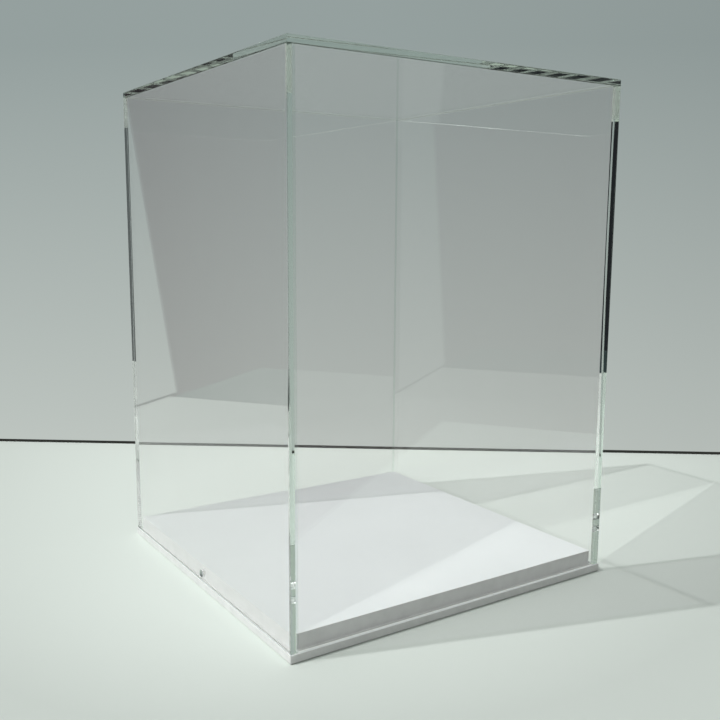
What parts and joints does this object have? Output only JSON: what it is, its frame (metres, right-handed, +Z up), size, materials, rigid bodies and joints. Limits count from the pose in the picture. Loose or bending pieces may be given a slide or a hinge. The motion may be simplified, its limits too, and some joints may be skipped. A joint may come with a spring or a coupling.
{
  "type": "display case",
  "caption": "Table-top display case: a clear square box cover of cemented acrylic sheet that lifts off a white board base with a rebated lip.",
  "frame": {"origin": "middle of the base board's underside, on the surface that the case stands on", "axes": "+Z up, the way the cover lifts off; -Y is the front; +X is to the right of someone facing the front, out through the screw hole in the right side panel"},
  "size_m": [0.2, 0.2, 0.27],
  "materials": {
    "white_board": "fibreboard sprayed matt white, edges lightly sanded",
    "clear_acrylic": "clear cast acrylic sheet with polished edges, solvent-cemented butt joints"
  },
  "bodies": {
    "base": {"base_board": "white_board"},
    "cover": {"left_panel": "clear_acrylic", "right_panel": "clear_acrylic", "front_panel": "clear_acrylic", "back_panel": "clear_acrylic", "top_panel": "clear_acrylic"}
  },
  "joints": [
    {"name": "cover_lift", "type": "slide", "parent": "base", "child": "cover", "axis": [0, 0, 1], "range_m": [0, 0.3]}
  ]
}
